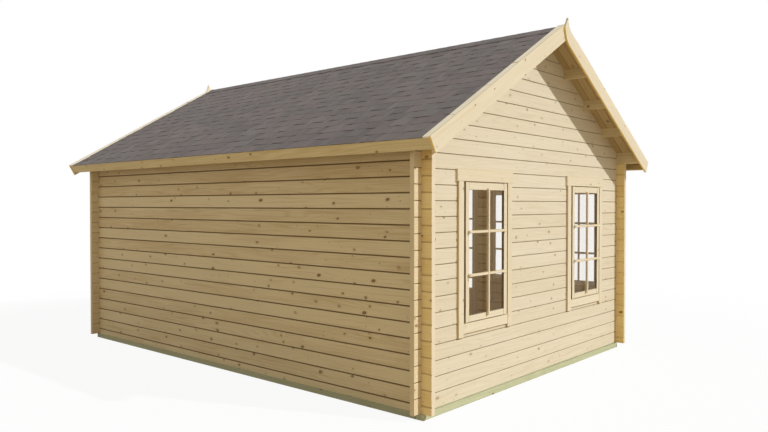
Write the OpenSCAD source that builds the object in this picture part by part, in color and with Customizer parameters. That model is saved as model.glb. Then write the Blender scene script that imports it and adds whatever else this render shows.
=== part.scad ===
// Log cabin: notched log walls, gabled shingle roof, glazed double door.
// Millimetres. +Z up, ground at Z = 0, origin at the middle of the footprint.
// +Y runs along the ridge. The door is in the +X wall, the window gable at -Y.

/* [Walls] */
// outer width over the gable wall
gable_width = 3840; // [3500:10:4400]
// height of one log course
log_height = 130; // [115:1:145]
// thickness of the wall logs
log_thickness = 44; // [36:1:60]
// size of the bevel along the edges of each log
log_bevel = 6; // [3:0.5:9]
// length of the long wall logs beyond the gables
side_log_end = 101; // [70:1:140]
// length of the gable logs beyond the long walls
gable_log_end = 92; // [70:1:120]
// height of the eaves log at its outer face
eaves_log_height = 104; // [90:1:125]

/* [Base] */
// height of the foundation beams
beam_height = 50; // [38:1:70]
// width of the foundation beams
beam_width = 70; // [54:1:95]
// beams past the face of the long walls
long_beam_step = 10; // [0:1:20]
// beams past the face of the gables
gable_beam_step = 25; // [0:1:40]
// thickness of the floor boards
floor_thickness = 19; // [16:1:28]

/* [Roof] */
// slope of the roof in degrees
roof_pitch = 30; // [26:0.5:33]
// thickness of the roof boards
roof_board = 20; // [16:1:28]
// thickness of the shingle layer
shingle_layer = 8; // [5:0.5:11]
// reach of the roof boards past each gable on the long side of the slope
gable_overhang = 262; // [200:1:320]
// level distance from the wall to the outer face of the fascia
eaves_overhang = 216; // [180:1:280]
// height of the fascia boards square to the roof
fascia_height = 98; // [80:1:120]
// thickness of the fascia boards and bargeboards
board_thickness = 18; // [15:0.5:24]
// width of the bargeboards
barge_width = 142; // [130:1:180]
// width of the cover battens beside the bargeboards
batten_width = 59; // [45:1:90]
// height of the cover battens over the shingles
batten_thickness = 14; // [10:0.5:20]
// width of the purlins
purlin_width = 44; // [36:1:60]
// depth of the purlins at their upper side
purlin_depth = 95; // [80:1:120]
// distance from the ridge line to the first purlin
first_purlin = 505; // [460:1:540]
// spacing of the purlins
purlin_spacing = 464; // [430:1:500]

/* [Windows] */
// width of a window sash
sash_width = 670; // [560:1:740]
// height of a window sash
sash_height = 1202; // [1000:1:1340]
// height of the sash's lower edge above the beams
sash_sill = 650; // [600:1:700]
// width of the sash stiles
stile = 54; // [45:1:65]
// distance of the gable windows from the middle of the gable
gable_window_offset = 1003; // [900:1:1060]
// gap between the door casing and the next window casing
door_spacing = 58.5; // [42:0.5:100]
// gap between the casings of two windows beside the door
window_spacing = 63.5; // [42:0.5:110]
// gap between the last window casing and the corner logs
corner_spacing = 38; // [20:0.5:60]
// width of the casing boards
casing_width = 76; // [66:1:105]
// thickness of the casing boards
casing_thickness = 20; // [16:1:26]
// height of the head casings over windows and door
header_height = 104; // [90:1:115]
// height of the casing board under a sash
apron_height = 87; // [70:1:110]

/* [Door] */
// clear width of the double doorway
door_width = 1300; // [1200:5:1600]
// height of the door leaves
leaf_height = 1922; // [1800:1:2100]
// width of the leaf stiles
leaf_stile = 72; // [66:1:90]
// height of the leaf's top rail
leaf_rail = 87; // [75:1:110]
// height of the glass's lower edge above the leaf's foot
leaf_panel = 455; // [400:1:600]

/* [Hidden] */
eps = 0.01;
side_gap = 19;         // gap between sash and lining at the sides
sash_gap = 6;          // the same over and under the sash
leaf_gap = 5;          // play around each door leaf
glass = 4;             // glass thickness
glass_bite = 8;        // depth of the glass in its groove
lining = 20;           // thickness of a window lining
stop = 12;             // hold of the stop behind sash and leaf
side_stop = 8;         // depth of the stops behind the sash sides
jamb = 28;             // thickness of the door jambs and head
sill = 30;             // height of the door threshold
sash_depth = 25;       // thickness of a sash
sash_proud = 3;        // sash face in front of the casing face
pane_inset = 10;       // glass behind the sash face
leaf_depth = 40;       // thickness of a door leaf
pin_r = 3;             // hinge pin radius
pin_play = 0.05;       // running clearance round the pin
knuckle_r = 8;         // hinge knuckle radius
knuckle_play = 0.3;    // gap between stacked knuckles
knuckle_h = 32;        // height of one knuckle
hinge_plate = 3;       // thickness of the hinge plates
hinge_inset = 200;     // hinges from the leaf's head and foot
handle_height = 950;   // handle above the leaf's foot
casing_play = 1;       // casing edge behind the lining's face
header_ear = 18;       // head casing past the side casings
leg_drop = 29;         // side casings below the board under a sash
header_clear = 20;     // least wall over a head casing

t = log_thickness;
h = log_height;
casing_half = sash_width / 2 + side_gap + casing_play + casing_width;
inner_window_offset = door_width / 2 + casing_width + door_spacing + casing_half;
window_pitch = 2 * casing_half + window_spacing;
hw = gable_width / 2;
hl = inner_window_offset + window_pitch + casing_half + corner_spacing + t;
side_length = 2 * hl;
ct = cos(roof_pitch);
st = sin(roof_pitch);
tt = tan(roof_pitch);
z0 = beam_height;
sz0 = z0 + sash_sill;
sz1 = sz0 + sash_height;
leaf_z0 = z0 + sill + leaf_gap;
leaf_z1 = leaf_z0 + leaf_height;
top_need = max(leaf_z1 + leaf_gap, sz1 + sash_gap) + header_height + header_clear;
wall_courses = ceil((top_need - z0) / h - 0.5);
z_eaves = z0 + (wall_courses + 0.5) * h;
z_ridge = z_eaves + eaves_log_height + tt * hw;
n_gable = floor((z_ridge - z0 - 25) / h) + 1;
n_shingle = roof_board + shingle_layer;
n_cap = n_shingle + batten_thickness;
n_low = n_cap - barge_width;
s_fascia = (hw + eaves_overhang - n_shingle * st) / ct;
s_board = s_fascia + 8;
ov_long = gable_overhang;
ov_short = gable_overhang - board_thickness;
beam_back = 16;        // far end of each long beam behind the gable's face
horn_scale = barge_width / 142;
horn_out = 235 * horn_scale;
ridge_wing = 150;      // ridge shingles down each slope
ridge_depth = 120;     // depth of the ridge purlin
floor_play = 3;        // floor boards short of the walls
seat = 0.1;            // play between the roof boards and what carries them
open_w = sash_width + 2 * (side_gap + lining);
open_z0 = z0 + sash_sill - sash_gap - lining;
open_z1 = z0 + sash_sill + sash_height + sash_gap + lining;
door_open_w = door_width + 2 * jamb;
door_open_z = leaf_z1 + leaf_gap + jamb;
leaf_w = (door_width - 3 * leaf_gap) / 2;
front_windows = [-inner_window_offset - window_pitch, -inner_window_offset,
                 inner_window_offset, inner_window_offset + window_pitch];
hinge_z = [leaf_z0 + hinge_inset - knuckle_h, leaf_z0 + leaf_height / 2 - knuckle_h,
           leaf_z1 - hinge_inset - knuckle_h];
joist_count = 9;
joist_width = 44;
beam_in = hw + long_beam_step - beam_width;

wood = [0.86, 0.77, 0.60];
wood_dark = [0.78, 0.66, 0.46];
green_wood = [0.66, 0.68, 0.48];
slate = [0.42, 0.39, 0.39];
pane = [0.80, 0.88, 0.92, 0.4];
steel = [0.70, 0.70, 0.70];

// a point on the +X slope: s down from the ridge, n square to the boards
function rp(s, n) = [s * ct + n * st, z_ridge - s * st + n * ct];
// height of the line n over the boards' underside at level distance x
function rz(x, n) = z_ridge + n / ct - tt * x;

// one point of a smooth curve through b and c, between a and d
function bend(a, b, c, d, u) =
  0.5 * ((2 * b) + (c - a) * u + (2 * a - 5 * b + 4 * c - d) * u * u
  + (3 * b - a - 3 * c + d) * u * u * u);
function at(p, i) = p[max(0, min(len(p) - 1, i))];
function curve(p, m) = [
  for (i = [0 : len(p) - 2], j = [0 : m - 1])
    bend(at(p, i - 1), at(p, i), at(p, i + 1), at(p, i + 2), j / m)
];

// section of a log from z = a to z = b, bevelled where asked
module log_section(a, b, low, high) {
  c = log_bevel;
  cl = low ? c : 0;
  ch = high ? c : 0;
  polygon([[cl, a], [t - cl, a], [t, a + cl], [t, b - ch],
           [t - ch, b], [ch, b], [0, b - ch], [0, a + cl]]);
}

// extrude an XZ outline from y = a to y = b
module run_y(a, b) {
  translate([0, b, 0]) rotate([90, 0, 0]) linear_extrude(b - a) children();
}

module box(a, b) {
  translate(a) cube(b - a);
}

// a bar of notch waste across the wall at one height
module side_notch(a, b) {
  for (e = [-1, 1])
    translate([-hw - 1, e * (hl - t / 2) - t / 2, a]) cube([t + 2, t, b - a]);
}

module gable_notch(a, b) {
  for (e = [-1, 1])
    translate([e * (hw - t / 2) - t / 2, -hl - 1, a]) cube([t, t + 2, b - a]);
}

// ---------- long walls ----------
// one course of the -X wall; k = -1 is the half log on the beam
module side_log(k) {
  a = k < 0 ? z0 : z0 + (k + 0.5) * h;
  b = z0 + (k + 1.5) * h;
  difference() {
    translate([-hw, 0, 0]) run_y(-hl - side_log_end, hl + side_log_end)
      log_section(a, b, k >= 0, true);
    if (k >= 0) side_notch(a - 1, a + h / 4);
    side_notch(b - h / 4, b + 1);
  }
}

module side_logs(first) {
  for (k = [first : 2 : wall_courses - 1]) side_log(k);
}

// front_eaves_log runs out to both bargeboards
module eaves_log() {
  difference() {
    run_y(-hl - ov_long, hl + ov_short)
      polygon([[hw - t + log_bevel, z_eaves], [hw - log_bevel, z_eaves],
               [hw, z_eaves + log_bevel], [hw, rz(hw, -seat)],
               [hw - t, rz(hw - t, -seat)], [hw - t, z_eaves + log_bevel]]);
    for (e = [-1, 1])
      translate([hw - t - 1, e * (hl - t / 2) - t / 2, z_eaves - 1])
        cube([t + 2, t, h / 4 + 1]);
  }
}

// everything cut out of the +X wall
module front_openings() {
  for (y = front_windows)
    translate([hw - t - 1, y - open_w / 2, open_z0])
      cube([t + 2, open_w, open_z1 - open_z0]);
  translate([hw - t - 1, -door_open_w / 2, z0 - 1])
    cube([t + 2, door_open_w, door_open_z - z0 + 1]);
}

module front_logs(first) {
  difference() {
    rotate([0, 0, 180]) side_logs(first);
    front_openings();
  }
}

// ---------- gables ----------
// outline under the roof boards, between level x = -e and x = e
module under_roof(e) {
  polygon([[-e, z0], [e, z0], [e, rz(e, -seat)], [0, rz(0, -seat)], [-e, rz(e, -seat)]]);
}

module purlin_outline(x, d) {
  polygon([[x, rz(x, 0) - d], [x + purlin_width, rz(x, 0) - d],
           [x + purlin_width, rz(x + purlin_width, -seat)], [x, rz(x, -seat)]]);
}

module ridge_outline() {
  w = purlin_width / 2;
  polygon([[-w, z_ridge - ridge_depth], [w, z_ridge - ridge_depth],
           [w, rz(w, -seat)], [0, rz(0, -seat)], [-w, rz(w, -seat)]]);
}

module slope_purlins(a, b) {
  for (i = [0 : 2]) run_y(a, b) purlin_outline(first_purlin + i * purlin_spacing, purlin_depth);
}

// one course of the -Y gable
module gable_log(k) {
  a = z0 + k * h;
  last = k == n_gable - 1;
  b = last ? z_ridge + 1 : a + h;
  cross = k <= wall_courses;
  e = cross ? hw + gable_log_end : hw - t;
  difference() {
    intersection() {
      translate([-e, -hl, 0]) rotate([90, 0, 90]) linear_extrude(2 * e)
        log_section(a, b, true, !last);
      run_y(-hl - 1, -hl + t + 1) under_roof(e);
    }
    if (cross) {
      gable_notch(a - 1, a + h / 4);
      gable_notch(b - h / 4, b + 1);
    }
    if (k >= wall_courses - 1) {
      for (m = [0, 1]) mirror([m, 0, 0]) slope_purlins(-hl - 2, -hl + t + 2);
      run_y(-hl - 2, -hl + t + 2) ridge_outline();
    }
  }
}

module gable_logs(first) {
  for (k = [first : 2 : n_gable - 1]) gable_log(k);
}

module gable_openings() {
  for (m = [-1, 1])
    translate([m * gable_window_offset - open_w / 2, -hl - 1, open_z0])
      cube([open_w, t + 2, open_z1 - open_z0]);
}

// ---------- roof ----------
// slab on the +X slope between heights n1 and n2, from the ridge to s
module slope_slab(n1, n2, s, a, b) {
  run_y(a, b) polygon([[0, rz(0, n1)], [0, rz(0, n2)], rp(s, n2), rp(s, n1)]);
}

// a point of the horn, x and z from the ridge line
function hp(x, z) = [x * horn_scale, z_ridge + z * horn_scale];
horn_foot = 70 * horn_scale;
horn = [
  [horn_foot, rz(horn_foot, n_low)], hp(32, -127), hp(3, -88), hp(-14, -43),
  hp(-28, -3), hp(-21, 33), hp(6, 74), hp(26, 112)
];
horn_back = [hp(26, 112), hp(43, 54), hp(64, 19), hp(97, -13), hp(150, -46),
             [horn_out, rz(horn_out, n_cap)]];

// outer bargeboard of the +X slope at the -Y gable, with the horn
module horned_board() {
  y = -hl - ov_long;
  run_y(y - board_thickness, y)
    polygon(concat([rp(s_board, n_low)], curve(horn, 4), curve(horn_back, 4),
      [[horn_out, rz(horn_out, n_cap)], rp(s_board, n_cap)]));
}

// inner bargeboard of the +X slope at the +Y gable
module tucked_board() {
  d = -n_low / ct / tt / 2;
  run_y(hl + ov_short, hl + ov_long)
    polygon([rp(s_board, n_low), [0, rz(0, n_low)], [-d, z_ridge - tt * d - seat],
      [0, rz(0, -seat)], [0, rz(0, n_cap)], rp(s_board, n_cap)]);
}

// cover battens of the +X slope, on the shingles behind each bargeboard
module slope_battens() {
  n = n_shingle + seat;
  slope_slab(n, n_cap, s_board, -hl - ov_long, -hl - ov_long + batten_width);
  slope_slab(n, n_cap, s_board, hl + ov_short - batten_width, hl + ov_short);
}

module slope_fascia() {
  s = s_fascia - board_thickness;
  run_y(-hl - ov_long, hl + ov_short)
    polygon([rp(s, n_shingle - fascia_height), rp(s_fascia, n_shingle - fascia_height),
             rp(s_fascia, n_shingle), rp(s, n_shingle)]);
}

// ---------- windows ----------
// Local frame: x along the wall, y from the outer wall face inwards.
module in_gable(x) {
  translate([x, -hl, 0]) children();
}

module in_front(y) {
  translate([hw, y, 0]) rotate([0, 0, 90]) children();
}

module each_window() {
  for (m = [-1, 1]) in_gable(m * gable_window_offset) children();
  for (y = front_windows) in_front(y) children();
}

// upright frame piece: half width w, heights a to b, depths c to d
module plate(w, a, b, c, d) {
  translate([-w, c, a]) cube([2 * w, d - c, b - a]);
}

s_out = -casing_thickness - sash_proud;
s_in = s_out + sash_depth;
rail_top = 66;
rail_low = 58;
pane_y = s_out + pane_inset;

module window_lining() {
  w = sash_width / 2;
  difference() {
    plate(w + side_gap + lining, open_z0, open_z1, 0, t);
    plate(w + side_gap, sz0 - sash_gap, sz1 + sash_gap, -1, s_in);
    plate(w - stop, sz0 + stop, sz1 - stop, -1, t + 1);
    plate(w + side_gap, sz0 + stop, sz1 - stop, s_in + side_stop, t + 1);
  }
}

module window_casing() {
  w = casing_half - casing_width;
  a = sz0 - sash_gap - apron_height;
  b = sz1 + sash_gap;
  difference() {
    union() {
      plate(casing_half, a - leg_drop, b, -casing_thickness, 0);
      plate(casing_half + header_ear, b, b + header_height, -casing_thickness, 0);
    }
    plate(w, sz0 - sash_gap, b, -casing_thickness - 1, 1);
    plate(w, a - leg_drop - 1, a, -casing_thickness - 1, 1);
  }
}

module window_sash() {
  w = sash_width / 2;
  g = w - stile;
  difference() {
    plate(w, sz0, sz1, s_out, s_in);
    plate(g, sz0 + rail_low, sz1 - rail_top, s_out - 1, s_in + 1);
    plate(g + glass_bite, sz0 + rail_low - glass_bite, sz1 - rail_top + glass_bite,
          pane_y, pane_y + glass);
  }
}

module window_pane() {
  g = sash_width / 2 - stile + glass_bite;
  plate(g, sz0 + rail_low - glass_bite, sz1 - rail_top + glass_bite, pane_y, pane_y + glass);
}

// ---------- door ----------
l_out = -casing_thickness;
l_in = l_out + leaf_depth;
l_pane = l_out + 18;
axis_x = door_width / 2 - leaf_gap / 2;
axis_y = l_out - knuckle_r;
glass_z0 = leaf_z0 + leaf_panel;
glass_z1 = leaf_z1 - leaf_rail;

// one jamb at +x, with the stop behind the leaf
module door_jamb() {
  w = door_width / 2;
  translate([w, 0, z0]) cube([jamb, t, door_open_z - jamb - z0]);
  translate([w - stop, l_in + leaf_gap, z0 + sill])
    cube([stop + 1, t - l_in - leaf_gap, door_open_z - jamb - z0 - sill]);
}

// leaf on the +x side of the doorway, shut
module leaf_wood() {
  a = leaf_gap / 2;
  difference() {
    translate([a, l_out, leaf_z0]) cube([leaf_w, leaf_depth, leaf_height]);
    translate([a + leaf_stile, l_out - 1, glass_z0])
      cube([leaf_w - 2 * leaf_stile, leaf_depth + 2, glass_z1 - glass_z0]);
    leaf_pane();
    for (y = [l_out - 1, l_in - 8])
      translate([a + leaf_stile, y, leaf_z0 + 130])
        cube([leaf_w - 2 * leaf_stile, 9, leaf_panel - 130 - 78]);
  }
}

module leaf_pane() {
  a = leaf_gap / 2 + leaf_stile - glass_bite;
  translate([a, l_pane, glass_z0 - glass_bite])
    cube([leaf_w - 2 * leaf_stile + 2 * glass_bite, glass, glass_z1 - glass_z0 + 2 * glass_bite]);
}

// hinge halves at the +x edge: the frame half carries the pin
module frame_hinge(z) {
  translate([axis_x, axis_y, z]) cylinder(r = knuckle_r, h = knuckle_h, $fn = 48);
  translate([axis_x, axis_y, z + knuckle_h - 1]) cylinder(r = pin_r, h = knuckle_h - 5, $fn = 48);
  translate([axis_x, l_out - hinge_plate, z]) cube([60, hinge_plate, knuckle_h]);
}

module leaf_hinge(z) {
  zk = z + knuckle_h + knuckle_play;
  difference() {
    union() {
      translate([axis_x, axis_y, zk]) cylinder(r = knuckle_r, h = knuckle_h, $fn = 48);
      translate([axis_x - leaf_stile + 6, l_out - hinge_plate, zk])
        cube([leaf_stile - 6, hinge_plate, knuckle_h]);
    }
    translate([axis_x, axis_y, zk - 1]) cylinder(r = pin_r + pin_play, h = knuckle_h - 4, $fn = 48);
  }
}

module handle_set(m) {
  y = m < 0 ? l_out : l_in;
  x = leaf_gap / 2 + leaf_stile / 2;
  z = leaf_z0 + handle_height;
  translate([x - 18, m < 0 ? y - 4 : y, z - 110]) cube([36, 4, 160]);
  translate([x, y + (m < 0 ? -44 : 3), z]) rotate([-90, 0, 0]) cylinder(r = 8, h = 41, $fn = 32);
  translate([x - 8, y + (m < 0 ? -50 : 36), z - 8]) cube([120, 14, 16]);
}

// ---------- base and floor ----------
// each beam butts against the side of the next one
module long_beams() {
  color(green_wood)
    for (r = [0, 180]) rotate([0, 0, r])
      box([-hw - long_beam_step, -hl - gable_beam_step + beam_width, 0],
          [-beam_in, hl - beam_back, z0]);
}

module gable_beams() {
  color(green_wood)
    for (r = [0, 180]) rotate([0, 0, r])
      box([-hw - long_beam_step, -hl - gable_beam_step, 0],
          [beam_in, -hl - gable_beam_step + beam_width, z0]);
}

module floor_joists() {
  color(green_wood)
    for (i = [1 : joist_count]) {
      y = -hl + beam_width / 2 + i * (side_length - beam_width) / (joist_count + 1);
      box([-beam_in, y - joist_width / 2, 0], [beam_in, y + joist_width / 2, z0]);
    }
}

module floor_boards() {
  color(wood)
    box([-hw + t + floor_play, -hl + t + floor_play, z0],
        [hw - t - floor_play, hl - t - floor_play, z0 + floor_thickness]);
}

// ---------- nodes ----------
module back_wall_logs_a() { color(wood) side_logs(-1); }
module back_wall_logs_b() { color(wood) side_logs(0); }
module back_eaves_log() { color(wood) rotate([0, 0, 180]) eaves_log(); }
module front_wall_logs_a() { color(wood) front_logs(-1); }
module front_wall_logs_b() { color(wood) front_logs(0); }
module front_eaves_log() { color(wood) eaves_log(); }
module window_gable_logs_a() {
  color(wood) difference() {
    gable_logs(0);
    gable_openings();
  }
}
module window_gable_logs_b() {
  color(wood) difference() {
    gable_logs(1);
    gable_openings();
  }
}
module plain_gable_logs_a() { color(wood) rotate([0, 0, 180]) gable_logs(0); }
module plain_gable_logs_b() { color(wood) rotate([0, 0, 180]) gable_logs(1); }
module ridge_purlin() { color(wood) run_y(-hl - ov_short, hl + ov_short) ridge_outline(); }
module front_purlins() { color(wood) slope_purlins(-hl - ov_long, hl + ov_short); }
module back_purlins() { color(wood) rotate([0, 0, 180]) slope_purlins(-hl - ov_long, hl + ov_short); }
module front_roof_boards() {
  color(wood) slope_slab(0, roof_board, s_fascia - board_thickness, -hl - ov_long, hl + ov_short);
}
module back_roof_boards() { rotate([0, 0, 180]) front_roof_boards(); }
module front_shingles() {
  color(slate) slope_slab(roof_board, n_shingle, s_fascia - board_thickness, -hl - ov_long, hl + ov_short);
}
module back_shingles() { rotate([0, 0, 180]) front_shingles(); }
module ridge_shingles() {
  y = hl + ov_short - batten_width;
  n1 = n_shingle + seat;
  n2 = n_shingle + 4;
  color(slate) run_y(-y, y) polygon([
    [0, rz(0, n1)], rp(ridge_wing, n1), rp(ridge_wing, n2), [0, rz(0, n2)],
    [-rp(ridge_wing, n2)[0], rp(ridge_wing, n2)[1]],
    [-rp(ridge_wing, n1)[0], rp(ridge_wing, n1)[1]]]);
}
module fascia_boards() {
  color(wood) for (r = [0, 180]) rotate([0, 0, r]) slope_fascia();
}
module window_gable_front_barge() { color(wood) horned_board(); }
module plain_gable_back_barge() { color(wood) rotate([0, 0, 180]) horned_board(); }
module plain_gable_front_barge() { color(wood) tucked_board(); }
module window_gable_back_barge() { color(wood) rotate([0, 0, 180]) tucked_board(); }
module front_battens() { color(wood) slope_battens(); }
module back_battens() { color(wood) rotate([0, 0, 180]) slope_battens(); }
module window_linings() { color(wood) each_window() window_lining(); }
module window_casings() { color(wood) each_window() window_casing(); }
module window_sashes() { color(wood) each_window() window_sash(); }
module window_glass() { color(pane) each_window() window_pane(); }
module door_threshold() {
  color(wood_dark) in_front(0)
    translate([-door_width / 2, 0, z0]) cube([door_width, t, sill]);
}
module door_jambs() {
  color(wood) in_front(0) for (m = [0, 1]) mirror([m, 0, 0]) door_jamb();
}
module door_head() {
  w = door_width / 2 + jamb;
  color(wood) in_front(0) translate([-w, 0, door_open_z - jamb]) cube([2 * w, t, jamb]);
}
module door_side_casings() {
  color(wood) in_front(0) for (m = [0, 1]) mirror([m, 0, 0])
    translate([door_width / 2, -casing_thickness, z0])
      cube([casing_width, casing_thickness, door_open_z - jamb - z0]);
}
module door_head_casing() {
  w = door_width / 2 + casing_width + header_ear;
  color(wood) in_front(0) translate([-w, -casing_thickness, door_open_z - jamb])
    cube([2 * w, casing_thickness, header_height]);
}
module door_frame_hinges() {
  color(steel) in_front(0)
    for (m = [0, 1], z = hinge_z) mirror([m, 0, 0]) frame_hinge(z);
}
module far_leaf() { color(wood) in_front(0) leaf_wood(); }
module far_leaf_glass() { color(pane) in_front(0) leaf_pane(); }
module far_leaf_hinges() { color(steel) in_front(0) for (z = hinge_z) leaf_hinge(z); }
module near_leaf() { color(wood) in_front(0) mirror([1, 0, 0]) leaf_wood(); }
module near_leaf_glass() { color(pane) in_front(0) mirror([1, 0, 0]) leaf_pane(); }
module near_leaf_hinges() {
  color(steel) in_front(0) mirror([1, 0, 0]) for (z = hinge_z) leaf_hinge(z);
}
module door_handle() { color(steel) in_front(0) for (m = [-1, 1]) handle_set(m); }

long_beams();
gable_beams();
floor_joists();
floor_boards();
back_wall_logs_a();
back_wall_logs_b();
back_eaves_log();
front_wall_logs_a();
front_wall_logs_b();
front_eaves_log();
window_gable_logs_a();
window_gable_logs_b();
plain_gable_logs_a();
plain_gable_logs_b();
ridge_purlin();
back_purlins();
front_purlins();
back_roof_boards();
front_roof_boards();
back_shingles();
front_shingles();
ridge_shingles();
fascia_boards();
window_gable_back_barge();
window_gable_front_barge();
plain_gable_back_barge();
plain_gable_front_barge();
back_battens();
front_battens();
window_linings();
window_casings();
window_sashes();
window_glass();
door_threshold();
door_jambs();
door_head();
door_side_casings();
door_head_casing();
door_frame_hinges();
near_leaf();
near_leaf_glass();
near_leaf_hinges();
far_leaf();
far_leaf_glass();
far_leaf_hinges();
door_handle();
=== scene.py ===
import itertools
import math
import random

import bpy
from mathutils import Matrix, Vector


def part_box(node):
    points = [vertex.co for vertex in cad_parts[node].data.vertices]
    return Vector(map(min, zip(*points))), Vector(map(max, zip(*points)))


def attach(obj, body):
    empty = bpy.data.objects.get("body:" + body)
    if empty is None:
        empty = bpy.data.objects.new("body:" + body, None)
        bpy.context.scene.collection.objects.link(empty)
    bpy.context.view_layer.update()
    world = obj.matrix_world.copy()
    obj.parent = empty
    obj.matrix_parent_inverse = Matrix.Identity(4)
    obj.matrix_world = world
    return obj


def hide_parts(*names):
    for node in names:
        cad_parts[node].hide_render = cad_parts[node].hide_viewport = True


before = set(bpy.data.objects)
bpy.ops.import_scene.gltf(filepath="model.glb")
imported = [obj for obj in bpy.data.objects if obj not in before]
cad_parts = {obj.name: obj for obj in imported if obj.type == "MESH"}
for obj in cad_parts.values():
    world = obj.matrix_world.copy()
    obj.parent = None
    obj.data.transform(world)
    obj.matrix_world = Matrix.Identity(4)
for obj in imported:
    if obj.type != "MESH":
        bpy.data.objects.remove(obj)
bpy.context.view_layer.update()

# ---------------------------------------------------------------- sizes (m)
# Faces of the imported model.
HW = -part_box("back_wall_logs_a")[0][0]           # outer face of the long walls
HL = -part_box("window_gable_logs_a")[0][1]        # outer face of the gables
Z0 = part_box("long_beams")[1][2]                  # top of the beams
SEAT = 0.0001                                    # play between the purlins and the roof boards
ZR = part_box("ridge_purlin")[1][2] + SEAT         # underside of the roof boards at the ridge
EAVES_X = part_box("fascia_boards")[1][0]          # outer face of the fascia

# The same values as in part.scad.
LOG = 0.130                                      # height of a log course
PITCH = math.radians(30)
N_BOARD, N_SHINGLE = 0.020, 0.028                # top of the roof boards and of the shingles over them
OV_LONG, OV_SHORT = 0.262, 0.244                 # roof past a gable, to the outer and to the inner bargeboard
BATTEN = 0.059                                   # width of the cover battens beside the bargeboards
CASING, CASING_DEPTH = 0.076, 0.020              # width and thickness of the casing boards
HEADER, HEADER_EAR = 0.104, 0.018                # height of a head casing, its reach past the side casings
APRON, LEG = 0.087, 0.029                        # board under a sash, side casings below that board
SASH_HALF, STILE = 0.335, 0.054                  # half width of a sash, width of its stiles
SASH_OUT, SASH_IN = -0.023, 0.002                # outer and inner face of a sash, from the wall's face
RAIL_TOP, RAIL_LOW = 0.066, 0.058                # rails of a sash
GAP_SIDE, GAP_Z = 0.020, 0.006                   # casing to sash at the sides, and over and under it
GABLE_WINDOW = 1.003                             # middle of a gable window from the cabin's middle
FRONT_WINDOWS = (-2.141, -1.2155, 1.2155, 2.141)  # middles of the front windows
DOOR_HALF, LEAF_GAP = 0.650, 0.005               # half of the doorway, play round the leaves
LEAF_NEAR = LEAF_GAP / 2                         # a leaf from the doorway's middle
LEAF_FAR = LEAF_NEAR + (DOOR_HALF * 2 - 3 * LEAF_GAP) / 2
LEAF_STILE, LEAF_RAIL, LEAF_FOOT = 0.072, 0.087, 0.130
LEAF_PANEL, LOCK_RAIL = 0.455, 0.078             # foot of the leaf to its glass, rail under the glass
LEAF_OUT, LEAF_IN, LEAF_PANE = -CASING_DEPTH, 0.020, -0.002

# What only this script draws.
BAR, BAR_REACH = 0.0125, 0.023                   # half width of a glazing bar, its reach out of a sash
BAR_GAP = 0.0003                                 # between crossing bars
SASH_BAR_OVERLAP = (0.025, 0.015, 0.020)         # bar ends over the low rail, the top rail and the stiles
SASH_BAR_ROWS = (0.320, 0.665)                   # heights of the cross bars, as a share of the glass
LEAF_BAR_PITCH = 0.411                           # height of the leaves' panes
PANEL_BOARDS, PANEL_SINK = 5, 0.0085             # boards in a leaf's lower panel, and how deep they lie
BOARD_PITCH, PLANK_PITCH = 0.096, 0.111          # width of a roof board and of a floor plank
BOARD_GAP = 0.0004                               # half of the joint between two of them
BOARD_START = 0.006                              # roof boards from the ridge line
GAUGE = 0.1435                                   # height of a shingle course
COURSE_LAP, COURSE_RISE = 0.02, 0.0022           # a course's reach under the one above, its rise at the foot
SHINGLE_START = 0.004                            # shingles from the ridge line, and past the fascia
SHINGLE_SIDE = BATTEN - 0.006                    # shingles from the roof's ends, just under the battens
BASE, TAB = 0.0024, 0.0030                       # thickness of the base strips and of the tabs on them
BASE_WIDTHS, TAB_WIDTHS, TAB_SPACES = (0.30, 0.36), (0.10, 0.14, 0.18, 0.24), (0.07, 0.10, 0.15)
CAP_PITCH, CAP_WING = 0.145, 0.146               # ridge cap along the ridge and down the slope
CAP_LIFT, CAP_RISE = 0.0062, 0.0018              # ridge cap over the shingle layer, and over the cap before
TRIM_BEVEL, BAR_BEVEL, PANEL_BEVEL = 0.002, 0.003, 0.004
BOARD_BEVEL, PLANK_BEVEL = 0.0035, 0.0015
STRIP_BEVEL, TAB_BEVEL, CAP_BEVEL = 0.0004, 0.0006, 0.0005
ROOF_SEED, FLOOR_SEED, LEAF_SEED, DOOR_SEED = 1000, 2000, 500, 700

CT, ST = math.cos(PITCH), math.sin(PITCH)
S_FASCIA = (EAVES_X - N_SHINGLE * ST) / CT       # down the slope to the fascia's outer face
S_BOARDS = S_FASCIA - 0.018                      # down the slope to the fascia's inner face
X, Y, Z = Vector((1, 0, 0)), Vector((0, 1, 0)), Vector((0, 0, 1))
FRONT = (HW, 0, 0)                               # origin of what is set on the front wall
FRONT_AXES = (Y, -X, Z)                          # along the front wall, into it, up


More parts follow.
